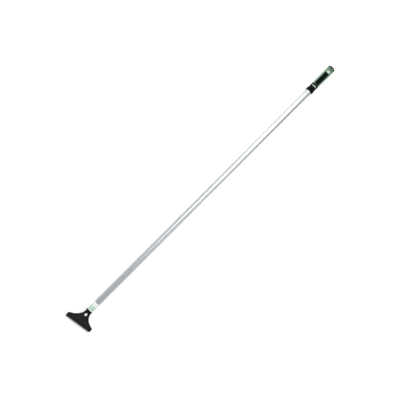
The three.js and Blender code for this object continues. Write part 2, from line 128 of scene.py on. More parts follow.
# %% [markdown]
# ## Floor and light
#
# A product is shown on a pale floor that runs out of the frame. The floor glows faintly, as a light
# table does, so that holes and shadows stay pale. One large soft light hangs over the pole and gives
# it one long highlight, a small one beside the grip shows its gloss, and a weak one in front fills.
# The world is a plain pale fill. The view transform is the plain one, so that white stays white.

# %% Build the floor and the lights
def flat_material(name, colour, roughness):
    material = bpy.data.materials.new(name)
    material.use_nodes = True
    shader = material.node_tree.nodes["Principled BSDF"]
    shader.inputs["Base Color"].default_value = (*colour, 1)
    shader.inputs["Roughness"].default_value = roughness
    return material


bpy.ops.mesh.primitive_plane_add(size=12, location=(0, 0, 0))
floor = bpy.context.object
floor.name = "floor"
floor_paint = flat_material("floor_paint", (0.9, 0.9, 0.9), 0.8)
glow = floor_paint.node_tree.nodes["Principled BSDF"]
glow.inputs["Emission Color"].default_value = (1, 1, 1, 1)
glow.inputs["Emission Strength"].default_value = 0.18
floor.data.materials.append(floor_paint)


def soft_light(name, place, size, power, target=middle):
    data = bpy.data.lights.new(name, "AREA")
    data.shape = "RECTANGLE"
    data.size, data.size_y = size
    data.energy = power
    lamp = bpy.data.objects.new(name, data)
    scene.collection.objects.link(lamp)
    lamp.location = place
    lamp.rotation_euler = (Vector(place) - target).to_track_quat("Z", "Y").to_euler()
    return lamp


soft_light("top_light", (0.5, 0.72, 1.9), (1.9, 0.9), 34)
soft_light("side_light", (0.95, 1.25, 0.55), (0.7, 0.5), 6, Vector((0.5, 0, 0)))
soft_light("front_light", (-0.2, -1.9, 1.5), (2.2, 1.2), 9)

world = bpy.data.worlds.new("studio")
scene.world = world
world.use_nodes = True
world.node_tree.nodes["Background"].inputs["Color"].default_value = (0.95, 0.97, 1, 1)
world.node_tree.nodes["Background"].inputs["Strength"].default_value = 0.58
scene.view_settings.view_transform = "Standard"

# %% [markdown]
# ## Three formulas
#
# Mixing two values by a share, easing a value between two limits, and a curve between two points
# that a third one pulls towards itself come back in many pieces.

# %% Mix, ease and curve
def mix(a, b, share):
    return a + (b - a) * share


def eased_step(value, low, high):
    """0 below the low limit, 1 above the high one, and an eased climb between them."""
    t = min(1, max(0, (value - low) / (high - low)))
    return t * t * (3 - 2 * t)


def curve(start, bend, end, steps):
    """Points from the start to the end, on a curve drawn towards the bend."""
    shares = [step / steps for step in range(steps + 1)]
    return [start * (1 - t) ** 2 + bend * (2 * t * (1 - t)) + end * t**2 for t in shares]


# %% [markdown]
# ## Working by hand, in code
#
# Each new piece starts from a primitive and is shaped in edit mode. An operator acts on whatever is
# selected, so every step first clears the selection and then picks edges or faces by their place.
# The helpers below open and close edit mode, pick by place, and cut one piece with another.

# %% Edit-mode helpers
def only(piece):
    bpy.ops.object.select_all(action="DESELECT")
    piece.select_set(True)
    bpy.context.view_layer.objects.active = piece


def open_edit(piece, kind="VERT", everything=False):
    only(piece)
    bpy.ops.object.mode_set(mode="EDIT")
    bpy.ops.mesh.select_mode(type=kind)
    bpy.ops.mesh.select_all(action="SELECT" if everything else "DESELECT")


def close_edit():
    bpy.ops.object.mode_set(mode="OBJECT")


def pick(piece, test):
    """Select the edges or faces whose vertices pass the test, in the mode that is on."""
    mesh = bmesh.from_edit_mesh(piece.data)
    faces = bpy.context.tool_settings.mesh_select_mode[2]
    parts = mesh.faces if faces else mesh.edges
    bpy.ops.mesh.select_all(action="DESELECT")
    chosen = [part for part in parts if test([v.co for v in part.verts])]
    for part in chosen:
        part.select_set(True)
    mesh.select_flush_mode()
    bmesh.update_edit_mesh(piece.data)
    return len(chosen)


def face_outwards(piece):
    open_edit(piece, everything=True)
    bpy.ops.mesh.remove_doubles(threshold=0.002 * MM)
    bpy.ops.mesh.normals_make_consistent(inside=False)
    close_edit()


def modify(piece, kind, **values):
    """Add a modifier, set its values and apply it."""
    only(piece)
    bpy.ops.object.modifier_add(type=kind)
    modifier = piece.modifiers[-1]
    for key, value in values.items():
        setattr(modifier, key, value)
    bpy.ops.object.modifier_apply(modifier=modifier.name)


def combine(piece, other, operation="DIFFERENCE"):
    modify(piece, "BOOLEAN", object=other, operation=operation, solver="EXACT")
    bpy.data.objects.remove(other)


def smooth(piece, degrees=35):
    only(piece)
    bpy.ops.object.shade_smooth_by_angle(angle=math.radians(degrees))


def open_edges(piece):
    """How many edges don't have exactly two faces: none on a closed piece."""
    mesh = bmesh.new()
    mesh.from_mesh(piece.data)
    count = sum(len(edge.link_faces) != 2 for edge in mesh.edges)
    mesh.free()
    return count


def report(piece):
    triangles = sum(len(face.vertices) - 2 for face in piece.data.polygons)
    print(piece.name, "triangles", triangles, "open edges", open_edges(piece))


# %% [markdown]
# ## Three ways to start a shape
#
# A flat blank is a circle whose points are moved onto an outline and then pushed out, as a sheet part
# is cut. A loft starts from the same circle and is extruded ring by ring. A turned part is a loft
# whose rings are all round, as on a lathe. Real edges are never knife sharp, so a profile's corners
# are eased into short curves before it is turned.

# %% Blanks, lofts and turned parts
def blank(name, points, push):
    """A flat outline of points, pushed out along a vector into a solid."""
    bpy.ops.mesh.primitive_circle_add(vertices=len(points), fill_type="NGON")
    piece = bpy.context.object
    piece.name = name
    for vertex, point in zip(piece.data.vertices, points):
        vertex.co = point
    open_edit(piece, "FACE", everything=True)
    bpy.ops.mesh.extrude_region_move(TRANSFORM_OT_translate={"value": push})
    close_edit()
    face_outwards(piece)
    return piece


def loft(name, rings, closed=False):
    """Rings of points, each extruded from the one before. A closed loft ends on its first ring."""
    fill = "NOTHING" if closed else "NGON"
    bpy.ops.mesh.primitive_circle_add(vertices=len(rings[0]), fill_type=fill)
    piece = bpy.context.object
    piece.name = name
    open_edit(piece, everything=True)
    mesh = bmesh.from_edit_mesh(piece.data)
    place = mesh.verts.layers.int.new("place")
    for index, vertex in enumerate(mesh.verts):
        vertex[place] = index
        vertex.co = rings[0][index]
    bmesh.update_edit_mesh(piece.data)
    bpy.ops.mesh.select_mode(type="EDGE" if closed else "FACE")
    bpy.ops.mesh.select_all(action="SELECT")
    for ring in rings[1:]:
        bpy.ops.mesh.extrude_region_move(TRANSFORM_OT_translate={"value": (0, 0, 0)})
        mesh = bmesh.from_edit_mesh(piece.data)
        place = mesh.verts.layers.int["place"]
        for vertex in mesh.verts:
            if vertex.select:
                vertex.co = ring[vertex[place]]
        bmesh.update_edit_mesh(piece.data)
    close_edit()
    face_outwards(piece)
    return piece


def round_ring(matrix, x, radius, facets):
    turns = [2 * math.pi * k / facets for k in range(facets)]
    return [matrix @ Vector((x, radius * math.cos(t), radius * math.sin(t))) for t in turns]


def turned(name, matrix, profile, facets=96, closed=False):
    """A lathe part about the matrix's X axis, from (x, radius) points."""
    line = [*profile, profile[0]] if closed else profile
    return loft(name, [round_ring(matrix, x, max(r, 0.02 * MM), facets) for x, r in line], closed)


def eased(profile, radius, closed=False, steps=3):
    """The same profile with its corners turned into short curves."""
    count = len(profile)
    line = []
    for i, corner in enumerate(profile):
        here = Vector(corner)
        before, after = Vector(profile[i - 1]), Vector(profile[(i + 1) % count])
        reach = min(radius, 0.45 * (here - before).length, 0.45 * (after - here).length)
        if (not closed and i in (0, count - 1)) or reach < 0.02 * MM:
            line.append(corner)
            continue
        start = here + (before - here).normalized() * reach
        end = here + (after - here).normalized() * reach
        line += [tuple(point) for point in curve(start, here, end, steps)]
    return line


def rod(matrix, x0, x1, radius, facets=64):
    return turned("rod", matrix, [(x0, radius), (x1, radius)], facets)


def block(matrix, low, high):
    """A cube at its size and place, turned by the matrix."""
    middle_point = (Vector(low) + Vector(high)) / 2
    bpy.ops.mesh.primitive_cube_add(size=1, location=middle_point, scale=Vector(high) - Vector(low))
    piece = bpy.context.object
    bpy.ops.object.transform_apply(location=True, rotation=True, scale=True)
    piece.data.transform(matrix)
    return piece


def mould(piece, voxel, relax, keep):
    """Fuse a piece into one skin of small squares, relax it so every edge is rounded, and thin it."""
    modify(piece, "REMESH", mode="VOXEL", voxel_size=voxel)
    modify(piece, "SMOOTH", factor=0.5, iterations=relax)
    modify(piece, "DECIMATE", ratio=keep)
    only(piece)
    bpy.ops.object.shade_smooth()


# %% [markdown]
# ## The head
#
# The head is one nylon moulding: a thin plate with a raised rim round a sunk face, flanks that curve
# in to a narrow neck, a hanging hole, and a hollow spigot inside the pole. Its outline is a straight
# wing at each side and one curve from the wing to the neck. It could be drawn as a flat shape and
# bevelled, but a moulding has a soft round on every edge, inside and out, even where the neck swells
# out of the plate. So the blocks are joined and cut first, then fused by a voxel remesh and relaxed.

# %% Sizes of the head, in the plate's frame
def in_plate(node):
    """The lowest and highest corner of a CAD node in the plate's frame."""
    back = plate_to_row.inverted()
    points = [back @ vertex.co for vertex in frame["nodes"][node].data.vertices]
    low = Vector([min(p[i] for p in points) for i in range(3)])
    high = Vector([max(p[i] for p in points) for i in range(3)])
    return low, high


blade_low, blade_high = in_plate("scraper_blade")
clamp_low, clamp_high = in_plate("clamp_plate")
insert_low, insert_high = in_plate("threaded_insert_left")

blade_reach, cheek, wing_length, corner_radius = 4.8 * MM, 1.3 * MM, 13.5 * MM, 2 * MM
hole_from_edge = 44.5 * MM
plate_base = blade_low.z
nose_x = blade_low.x + blade_reach
wing_half = blade_high.y + gap + cheek
wing_rear = nose_x + wing_length
nose_top, heel_top = 1.6 * MM, 4.6 * MM
rim_slope = (heel_top - nose_top) / -nose_x
rim_width, recess_depth = 3 * MM, 1 * MM
flank_slope, flank_inset = 0.3, 0.4 * MM
neck_radius = 10.6 * MM
ramp_start, ramp_end, neck_lip = -7 * MM, 5 * MM, 1 * MM
hole_x, hole_radius = blade_low.x + hole_from_edge, 5.5 * MM
screw_x = (insert_low.x + insert_high.x) / 2
screw_y = (insert_low.y + insert_high.y) / 2
insert_radius = (insert_high.y - insert_low.y) / 2
print("wing half in mm", round(wing_half / MM, 2))
print("screws at", round(screw_x / MM, 2), round(screw_y / MM, 2))


# %% The outline, as one side and its mirror
def half_outline(margin, steps=28):
    """Points from the nose to the neck along one side, moved in by a margin."""
    side, rear = wing_half - margin, wing_rear - margin
    neck_side = neck_radius - flank_inset - margin
    start = Vector((rear, side))
    bend = Vector((rear + flank_slope * (side - neck_side), neck_side))
    end = Vector((ramp_end - neck_lip, neck_side))
    return [Vector((nose_x + margin, side)), *curve(start, bend, end, steps)]


def outline(margin, z, rear_limit=None):
    """The closed outline at a height, cut off square at a rear limit if there is one."""
    half = half_outline(margin)
    if rear_limit is not None:
        inside = [p for p in half if p.x < rear_limit]
        beyond = half[len(inside)]
        last = inside[-1]
        share = (rear_limit - last.x) / (beyond.x - last.x)
        half = [*inside, last.lerp(beyond, share)]
    left = [Vector((p.x, p.y, z)) for p in half]
    return left + [Vector((p.x, -p.y, z)) for p in reversed(half)]


def is_wing_corner(points, margin=0.0):
    """True for an upright edge at one of the wings' corners."""
    first, second = points
    stands_up = (first - second).xy.length < 0.01 * MM
    at_side = abs(abs(first.y) - (wing_half - margin)) < 0.1 * MM
    return stands_up and at_side


# %% The plate, with its sloping rim
def head_plate():
    plate = blank("head_moulding", outline(0, plate_base), (0, 0, nose_top - plate_base))
    open_edit(plate, "EDGE")
    pick(plate, is_wing_corner)
    bpy.ops.mesh.bevel(offset=corner_radius, segments=6, affect="EDGES")
    close_edit()
    for vertex in plate.data.vertices:
        if vertex.co.z > plate_base + 1 * MM:
            vertex.co.z += (vertex.co.x - nose_x) * rim_slope
    plate.data.transform(plate_to_row)
    return plate


head = head_plate()
report(head)


# %% [markdown]
# ### The neck
#
# The neck starts as the plate's flat section and ends as the round shoulder that the pole butts
# against. Each ring is a squared circle whose squareness fades as it climbs the ramp.

# %% The neck and the spigot
def ramp(x):
    return eased_step(x, ramp_start, ramp_end)


def plate_line(x, height, slope):
    """A line of the plate, height + slope * x, as a height above the pole's axis."""
    angle = math.atan(slope) - head_bend
    return height * math.cos(head_bend) + (x - height * math.sin(head_bend)) * math.tan(angle)


def neck_top(x):
    return mix(plate_line(x, heel_top - gap, rim_slope), neck_radius, ramp(x))


def neck_bottom(x):
    return mix(plate_line(x, plate_base + gap, 0), -neck_radius, ramp(x))


def squared(value, power):
    return math.copysign(abs(value) ** power, value)


def neck_ring(x, facets=96):
    middle_z = (neck_top(x) + neck_bottom(x)) / 2
    half_height = (neck_top(x) - neck_bottom(x)) / 2
    power = mix(0.35, 1, ramp(x))
    ring = []
    for k in range(facets):
        turn = 2 * math.pi * k / facets
        y = neck_radius * squared(math.cos(turn), power)
        z = middle_z + half_height * squared(math.sin(turn), power)
        ring.append(Vector((bend_x + x, y, axis_z + z)))
    return ring


neck_steps = 24
neck_from = ramp_start - 1 * MM
neck_xs = [neck_from + (neck_length - neck_from) * i / neck_steps for i in range(neck_steps + 1)]
neck = loft("neck", [neck_ring(x) for x in neck_xs])
on_pole = Matrix.Translation((0, 0, axis_z))
tube_wall, spigot_length, spigot_thickness, floor_depth = 1.2 * MM, 38 * MM, 3 * MM, 6 * MM
tube_bore = pole_radius - tube_wall
spigot_radius = tube_bore - gap
crimp_x, crimp_width, crimp_depth, crimp_ramp = pole_start + 20 * MM, 4 * MM, 0.7 * MM, 1.5 * MM
spigot_end = pole_start + spigot_length
spigot_wall = spigot_radius - crimp_depth - spigot_thickness
spigot_floor = bend_x + neck_length + floor_depth
spigot_profile = [
    (bend_x + ramp_end, spigot_radius),
    (crimp_x - crimp_ramp, spigot_radius),
    (crimp_x, spigot_radius - crimp_depth),
    (crimp_x + crimp_width, spigot_radius - crimp_depth),
    (crimp_x + crimp_width + crimp_ramp, spigot_radius),
    (spigot_end - 1 * MM, spigot_radius),
    (spigot_end, spigot_radius - 1 * MM),
    (spigot_end, spigot_wall),
    (spigot_floor, spigot_wall),
]
spigot = turned("spigot", on_pole, spigot_profile)
combine(head, neck, "UNION")
combine(head, spigot, "UNION")
report(head)


# %% [markdown]
# ### Cutting the head
#
# The sunk face is the outline moved in by the rim's width. It runs on up the neck's ramp as a
# channel that fades out. Underneath, the blade's pocket is open at the nose, and two blind holes
# take the threaded inserts. The hanging hole gets a small lead-in on both faces, and the seam where
# the flat plate swells into the round neck is relaxed more than the rest, away from the hole.

# %% Cut the face, the channel, the pocket and the holes
def face_cutter():
    points = outline(rim_width, 0, rear_limit=ramp_start + 0.5 * MM)
    cutter = blank("face", points, (0, 0, 12 * MM))
    for vertex in cutter.data.vertices:
        if vertex.co.z < 1 * MM:
            vertex.co.z = heel_top - recess_depth + vertex.co.x * rim_slope
    cutter.data.transform(plate_to_row)
    return cutter


def channel_cutter():
    start, end, steps = ramp_start - 1.5 * MM, ramp_end - neck_lip, 16
    half = neck_radius - rim_width
    xs = [start + (end - start) * i / steps for i in range(steps + 1)]
    floor_line = []
    for x in xs:
        depth = recess_depth * (1 - max(0, x - ramp_start) / (end - ramp_start)) ** 2
        floor_line.append(Vector((bend_x + x, -half, axis_z + neck_top(x) + gap - depth)))
    high = axis_z + 2 * neck_radius
    lid = [Vector((bend_x + end, -half, high)), Vector((bend_x + start, -half, high))]
    return blank("channel", floor_line + lid, (0, 2 * half, 0))


stand = Matrix.Rotation(-math.pi / 2, 4, "Y")


def upright(x, y):
    """The matrix of a lathe part that stands on the plate at a place, its axis along the plate's z."""
    return plate_to_row @ Matrix.Translation((x, y, 0)) @ stand


def hole_cutter():
    lead, reach = 0.8 * MM, 14 * MM
    top = heel_top + rim_slope * hole_x - recess_depth
    profile = [
        (plate_base - lead, hole_radius + 2 * lead),
        (plate_base + lead, hole_radius),
        (top - lead, hole_radius),
        (top + lead, hole_radius + 2 * lead),
        (top + reach, hole_radius + 2 * lead),
    ]
    return turned("hole", upright(hole_x, 0), profile)


combine(head, face_cutter())
combine(head, channel_cutter())
combine(head, hole_cutter())
pocket_low = (blade_low.x - 10 * MM, -blade_high.y - gap, plate_base - 10 * MM)
pocket_high = (blade_high.x + gap, blade_high.y + gap, blade_high.z + gap)
combine(head, block(plate_to_row, pocket_low, pocket_high))
hole_start, hole_end = plate_base - 5 * MM, plate_base + 4.4 * MM
for side in (-1, 1):
    place = upright(screw_x, side * screw_y)
    combine(head, rod(place, hole_start, hole_end, insert_radius + gap))
mould(head, voxel=0.33 * MM, relax=10, keep=0.5)


def relax_neck(piece):
    """Smooth the seam between the plate and the neck, away from the hole and the shoulder."""
    group = piece.vertex_groups.new(name="neck_seam")
    back = plate_to_row.inverted()
    for vertex in piece.data.vertices:
        spot = back @ vertex.co
        seam = eased_step(spot.x, -20 * MM, -12 * MM) * (1 - eased_step(spot.x, 4 * MM, 8 * MM))
        from_hole = (spot.xy - Vector((hole_x, 0))).length
        clear = eased_step(from_hole, hole_radius, hole_radius + 2.5 * MM)
        group.add([vertex.index], seam * clear, "REPLACE")
    modify(piece, "SMOOTH", factor=0.5, iterations=60, vertex_group=group.name)
    piece.vertex_groups.clear()


relax_neck(head)
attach(head, "tool")
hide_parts("head_body")
report(head)

# %% [markdown]
# ## The blade's clamp
#
# Under the head a stamped steel plate presses the blade into its pocket, held by two pan-head screws.
# Each screw has a split spring washer under its head and a flat washer on the plate. The plate is the
# head's outline, smaller and cut off behind the screws, with a rib across it for stiffness. It is made
# in the plate's frame, where its sides are square, and laid onto the head at the end.

# %% Stamp the clamp plate
clamp_inset, clamp_thickness, clamp_rear = 2 * MM, 1.8 * MM, blade_low.x + 36 * MM
clamp_top = clamp_high.z
clamp_bottom = clamp_top - clamp_thickness
screw_radius = 2 * MM
rib_x = (nose_x + 0.9 * MM + blade_high.x) / 2
rib_reach = wing_half - 9.3 * MM
rib_width, rib_crest = 6 * MM, 3 * MM


def stamped_rib():
    """A bar whose lower face is drawn in, so its sides slope as pressed steel does."""
    middle_z = (clamp_low.z + clamp_bottom + clamp_thickness / 2) / 2
    tall = 2 * (middle_z - clamp_low.z)
    size = (rib_width, 2 * rib_reach, tall)
    bpy.ops.mesh.primitive_cube_add(size=1, location=(rib_x, 0, middle_z), scale=size)
    rib = bpy.context.object
    bpy.ops.object.transform_apply(location=True, rotation=True, scale=True)
    open_edit(rib, "FACE")
    pick(rib, lambda points: all(p.z < middle_z for p in points))
    narrow = (rib_crest / rib_width, 1 - rib_crest / rib_reach, 1)
    bpy.ops.transform.resize(value=narrow, center_override=(rib_x, 0, clamp_low.z))
    close_edit()
    return rib


clamp_outline = outline(clamp_inset, clamp_bottom, clamp_rear)
clamp = blank("clamp_plate_stamped", clamp_outline, (0, 0, clamp_thickness))
open_edit(clamp, "EDGE")
pick(clamp, lambda points: is_wing_corner(points, clamp_inset))
bpy.ops.mesh.bevel(offset=corner_radius, segments=6, affect="EDGES")
close_edit()
combine(clamp, stamped_rib(), "UNION")
for side in (-1, 1):
    place = Matrix.Translation((screw_x, side * screw_y, 0)) @ stand
    combine(clamp, rod(place, clamp_bottom - 1 * MM, clamp_top + 1 * MM, screw_radius + 2 * gap, 48))
modify(clamp, "BEVEL", width=0.3 * MM, segments=3, limit_method="ANGLE", angle_limit=math.radians(25))
clamp.data.transform(plate_to_row)
smooth(clamp, 30)
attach(clamp, "clamp")
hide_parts("clamp_plate")
report(clamp)

# %% [markdown]
# ### Screws and washers
#
# The screw is turned with a low dome and thread rings, and a cross recess is cut into the dome. The
# flat washer is a turned ring. The spring washer is a square wire wound once with its ends apart, so
# it is a loft round the screw that climbs a little. Each is made for the left side and copied across.

# %% Turn a screw and its washers
left_place = upright(screw_x, screw_y)
washer_bore = screw_radius + gap
flat_low, flat_high = in_plate("flat_washer_left")
lock_low, lock_high = in_plate("lock_washer_left")
screw_low, screw_high = in_plate("clamp_screw_left")
screw_face, screw_tip = screw_low.z, screw_high.z
screw_seat = lock_low.z - gap


def screw_profile():
    dome = [(0, 0), (0, 1.7), (0.12, 2.5), (0.4, 3.2), (0.8, 3.68), (1.25, 3.92), (1.7, 4.0)]
    line = [(screw_face + x * MM, r * MM) for x, r in dome]
    line += [(screw_seat - 0.15 * MM, 4 * MM), (screw_seat, 3.85 * MM), (screw_seat, screw_radius)]
    pitch, root, start = 0.7 * MM, 1.68 * MM, screw_seat + 0.6 * MM
    thread = [(0, screw_radius), (0.08 * MM, screw_radius), (0.38 * MM, root), (0.42 * MM, root)]
    for turn in range(int((screw_tip - 0.9 * MM - start) / pitch)):
        line += [(start + turn * pitch + x, r) for x, r in thread]
    return [*line, (screw_tip - 0.5 * MM, screw_radius), (screw_tip, 1.5 * MM), (screw_tip, 0)]


def made_screw():
    screw = turned("clamp_screw_left_pan", left_place, screw_profile(), facets=64)
    place = plate_to_row @ Matrix.Translation((screw_x, screw_y, screw_face))
    for half_x, half_y in ((2.3 * MM, 0.55 * MM), (0.55 * MM, 2.3 * MM)):
        combine(screw, block(place, (-half_x, -half_y, -1 * MM), (half_x, half_y, 1.4 * MM)))
    return screw


def washer_section(low, high, outer, ease):
    """The wire or sheet that a washer is made of, cut across, with its corners eased."""
    corners = [(low, washer_bore), (low, outer), (high, outer), (high, washer_bore)]
    return eased(corners, ease, closed=True)


def made_flat_washer():
    outer = (flat_high.y - flat_low.y) / 2
    line = washer_section(flat_low.z, flat_high.z, outer, 0.2 * MM)
    return turned("flat_washer_left_round", left_place, line, 64, closed=True)


def made_lock_washer(steps=60):
    outer = (lock_high.y - lock_low.y) / 2
    climb, split = 0.2 * MM, 0.4 * MM / outer
    rings = []
    for i in range(steps + 1):
        turn = split + (2 * math.pi - 2 * split) * i / steps
        low, high = lock_low.z + climb * i / steps, lock_high.z - climb * (1 - i / steps)
        wire = washer_section(low, high, outer, 0.12 * MM)
        centre = Vector((screw_x, screw_y, 0))
        spots = [centre + Vector((r * math.cos(turn), r * math.sin(turn), z)) for z, r in wire]
        rings.append([plate_to_row @ spot for spot in spots])
    return loft("lock_washer_left_wound", rings)


def copy_across(piece, name):
    """The same piece on the other side, with a mesh of its own."""
    twin = piece.copy()
    twin.data = piece.data.copy()
    twin.name = name
    scene.collection.objects.link(twin)
    shift = Matrix.Translation((0, -2 * screw_y, 0))
    twin.data.transform(plate_to_row @ shift @ plate_to_row.inverted())
    return twin


hardware = []
for made, node in (
    (made_screw(), "clamp_screw"),
    (made_flat_washer(), "flat_washer"),
    (made_lock_washer(), "lock_washer"),
):
    smooth(made, 30)
    twin = copy_across(made, made.name.replace("left", "right"))
    for piece, side in ((made, "left"), (twin, "right")):
        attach(piece, ("screw_" if node == "clamp_screw" else "washers_") + side)
        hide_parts(node + "_" + side)
        hardware.append(piece)
        report(piece)

# %% [markdown]
# ## The pole and its label
#
# The pole is a drawn aluminium tube, crimped into a groove of the spigot under the label. The label
# is a thin film wrapped round the tube's lower end. Both are turned, with a closed wall.

# %% Turn the pole and the label
def tube_line(radius):
    return [
        (pole_start, radius),
        (crimp_x - crimp_ramp, radius),
        (crimp_x, radius - crimp_depth),
        (crimp_x + crimp_width, radius - crimp_depth),
        (crimp_x + crimp_width + crimp_ramp, radius),
        (pole_end, radius),
    ]


pole_profile = eased(tube_line(pole_radius) + tube_line(tube_bore)[::-1], 0.4 * MM, closed=True)
pole = turned("pole_tube_fine", on_pole, pole_profile, facets=128, closed=True)
smooth(pole)
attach(pole, "tool")
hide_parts("pole_tube")
report(pole)

label_low, label_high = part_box("label_sleeve")
label_outer = (label_high.y - label_low.y) / 2
label_inner = pole_radius + 0.08 * MM
label_profile = [
    (label_low.x, label_outer),
    (label_high.x, label_outer),
    (label_high.x, label_inner),
    (label_low.x, label_inner),
]
label_profile = eased(label_profile, 0.08 * MM, closed=True)
label = turned("label_film", on_pole, label_profile, facets=128, closed=True)
smooth(label)
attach(label, "tool")
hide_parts("label_sleeve")
report(label)

# %% [markdown]
# ## The grip
#
# The grip is turned a little from the head. Its mouth is a soft flanged collar with a pale inlaid
# bar, its body is a gloss green core with a soft black pad on each face, and a cap closes the end.
# The grip's own frame has x from the mouth, and z out of the face that carries the slot.

# %% The grip's frame and sizes
collar_low, collar_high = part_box("grip_collar")
core_low, core_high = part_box("grip_core")
cap_low, cap_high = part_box("end_cap")
mouth_x = collar_low.x
grip_turn = math.radians(20)
in_grip = Matrix.Translation((mouth_x, 0, axis_z)) @ Matrix.Rotation(-grip_turn, 4, "X")

grip_length = cap_high.x - mouth_x
collar_length = collar_high.x - mouth_x
cap_start = cap_low.x - mouth_x - gap
bore_radius = pole_radius + gap
flange_radius, waist_radius = 13.8 * MM, 12.1 * MM
front_radius, body_radius, cap_radius = 12.8 * MM, 13.1 * MM, 13.3 * MM
print("grip length in mm", round(grip_length / MM, 1), "cap from", round(cap_start / MM, 1))

# %% [markdown]
# ### The collar and its inlay
#
# The collar is turned from a wavy profile: a rounded mouth, a flange where the thumb rests, a waist,
# and a step up to the core. The inlay is a strip of pale plastic let into the waist.

# %% Turn the collar and cut the inlay's seat
def collar_curve():
    """Radius along the collar, from the mouth to the core."""
    keys = [
        (0.0, 11.75), (0.35, 12.4), (1.2, 13.1), (2.6, 13.6), (4.3, 13.8), (6.2, 13.62), (8.2, 13.05),
        (10.2, 12.45), (12.4, 12.14), (15.0, 12.1), (24.0, 12.12), (27.4, 12.3), (29.8, 12.8),
    ]
    line = [(x * MM, radius * MM) for x, radius in keys]
    fine = []
    for i in range(len(line) - 1):
        before, here = line[max(i - 1, 0)], line[i]
        after, beyond = line[i + 1], line[min(i + 2, len(line) - 1)]
        for step in range(3):
            t = step / 3
            radius = 0.5 * (
                2 * here[1]
                + (after[1] - before[1]) * t
                + (2 * before[1] - 5 * here[1] + 4 * after[1] - beyond[1]) * t**2
                + (3 * here[1] - before[1] - 3 * after[1] + beyond[1]) * t**3
            )
            fine.append((mix(here[0], after[0], t), radius))
    return [*fine, line[-1]]


collar_profile = collar_curve() + [
    (collar_length, front_radius - 0.2 * MM),
    (collar_length, bore_radius),
    (0, bore_radius),
]
collar = turned("grip_collar_soft", in_grip, collar_profile, facets=128, closed=True)

mark_low, mark_high = 20.8 * MM, 24.8 * MM
mark_half = math.radians(42)
mark_depth, mark_proud = 0.45 * MM, 0.12 * MM


def curved_strip(name, x0, x1, inner, outer, half_angle, steps=32):
    """A strip of a tube's wall, bent round the grip's axis."""
    rings = []
    for i in range(steps + 1):
        turn = math.pi / 2 - half_angle + 2 * half_angle * i / steps
        corners = [(x0, inner), (x1, inner), (x1, outer), (x0, outer)]
        rings.append([in_grip @ Vector((x, r * math.cos(turn), r * math.sin(turn))) for x, r in corners])
    return loft(name, rings)


mark_inner, mark_outer = waist_radius - mark_depth, waist_radius + mark_proud
seat_angle, seat_outer = mark_half + gap / waist_radius, 14 * MM
seat = curved_strip("seat", mark_low - gap, mark_high + gap, mark_inner - gap, seat_outer, seat_angle)
combine(collar, seat)
smooth(collar, 30)
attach(collar, "tool")
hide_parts("grip_collar")
report(collar)

mark = curved_strip("grip_mark_inlay", mark_low, mark_high, mark_inner, mark_outer, mark_half)
modify(mark, "BEVEL", width=0.12 * MM, segments=3, limit_method="ANGLE", angle_limit=math.radians(50))
smooth(mark)
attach(mark, "tool")
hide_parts("grip_mark")
report(mark)

# %% [markdown]
# ### The core
#
# The core is turned with a blind bore for the pole, then cut: a dish on each face, the slot through
# the web between them, and a shallow pocket for each pad. It is moulded like the head, and then its
# round skin is trued up: a point that lies near the turned line is put on it, and less so the
# further it is, so that the gloss shows no ripple and the rounded edges stay round.

# %% Turn and cut the core
core_start, core_end = collar_length + gap, cap_start
tail_radius, tail_length = 9 * MM, 3.4 * MM
bore_depth = pole_end - mouth_x + gap
slot_x, slot_length, slot_width = grip_length - 16.2 * MM, 15.6 * MM, 9.8 * MM
dish_x, dish_length, dish_width = grip_length - 16.7 * MM, 19.8 * MM, 17.4 * MM
web_half = 3.25 * MM
pad_start, pad_end = collar_length + 0.9 * MM, dish_x - dish_length / 2 - 0.6 * MM
pad_half, pad_pocket, pad_proud = 8 * MM, 0.85 * MM, 0.3 * MM


def core_radius(x):
    share = min(1, 1.6 * (x - core_start) / (core_end - core_start))
    return mix(front_radius, body_radius, math.sin(math.pi / 2 * share))


def core_line(offset=0.0, steps=24):
    xs = [core_start + (core_end - core_start) * i / steps for i in range(steps + 1)]
    return [(x, core_radius(x) + offset) for x in xs]


def oval(x, length, width, z, steps=20):
    """A slot's outline at a height of the grip's frame."""
    reach, half = (length - width) / 2, width / 2
    points = []
    for end in (1, -1):
        for i in range(steps + 1):
            turn = math.pi * i / steps - math.pi / 2
            across_slot = end * half * math.sin(turn)
            points.append(Vector((x + end * (reach + half * math.cos(turn)), across_slot, z)))
    return points


def strip(x0, x1, half, corner0, corner1, z, steps=10):
    """A rectangle along the grip with a corner radius at each end."""
    corners = [(x1, 1, corner1, 0), (x0, 1, corner0, 1), (x0, -1, corner0, 2), (x1, -1, corner1, 3)]
    points = []
    for x, side, radius, quarter in corners:
        centre_x = x - radius if x == x1 else x + radius
        centre_y = side * (half - radius)
        for i in range(steps + 1):
            turn = math.pi / 2 * (quarter + i / steps)
            corner = (centre_x + radius * math.cos(turn), centre_y + radius * math.sin(turn), z)
            points.append(Vector(corner))
    return points


def grip_blank(points, push):
    piece = blank("cutter", points, (0, 0, push))
    piece.data.transform(in_grip)
    return piece


core_profile = core_line() + [
    (core_end, tail_radius),
    (core_end + tail_length, tail_radius),
    (core_end + tail_length, 0),
    (bore_depth, 0),
    (bore_depth, bore_radius),
    (core_start, bore_radius),
]
core = turned("grip_core_gloss", in_grip, core_profile, facets=128, closed=True)
through = 2 * body_radius
combine(core, grip_blank(oval(slot_x, slot_length, slot_width, -through), 2 * through))
combine(core, grip_blank(oval(dish_x, dish_length, dish_width, web_half), through))
combine(core, grip_blank(oval(dish_x, dish_length, dish_width, -web_half), -through))


def pad_area(side, grow):
    front_corner, rear_corner = 1.5 * MM + grow, 3.5 * MM + grow
    points = strip(pad_start - grow, pad_end + grow, pad_half + grow, front_corner, rear_corner, 0)
    return grip_blank(points, side * through)


def pad_shell(below, above):
    profile = core_line(above) + core_line(-below)[::-1]
    return turned("shell", in_grip, profile, facets=128, closed=True)


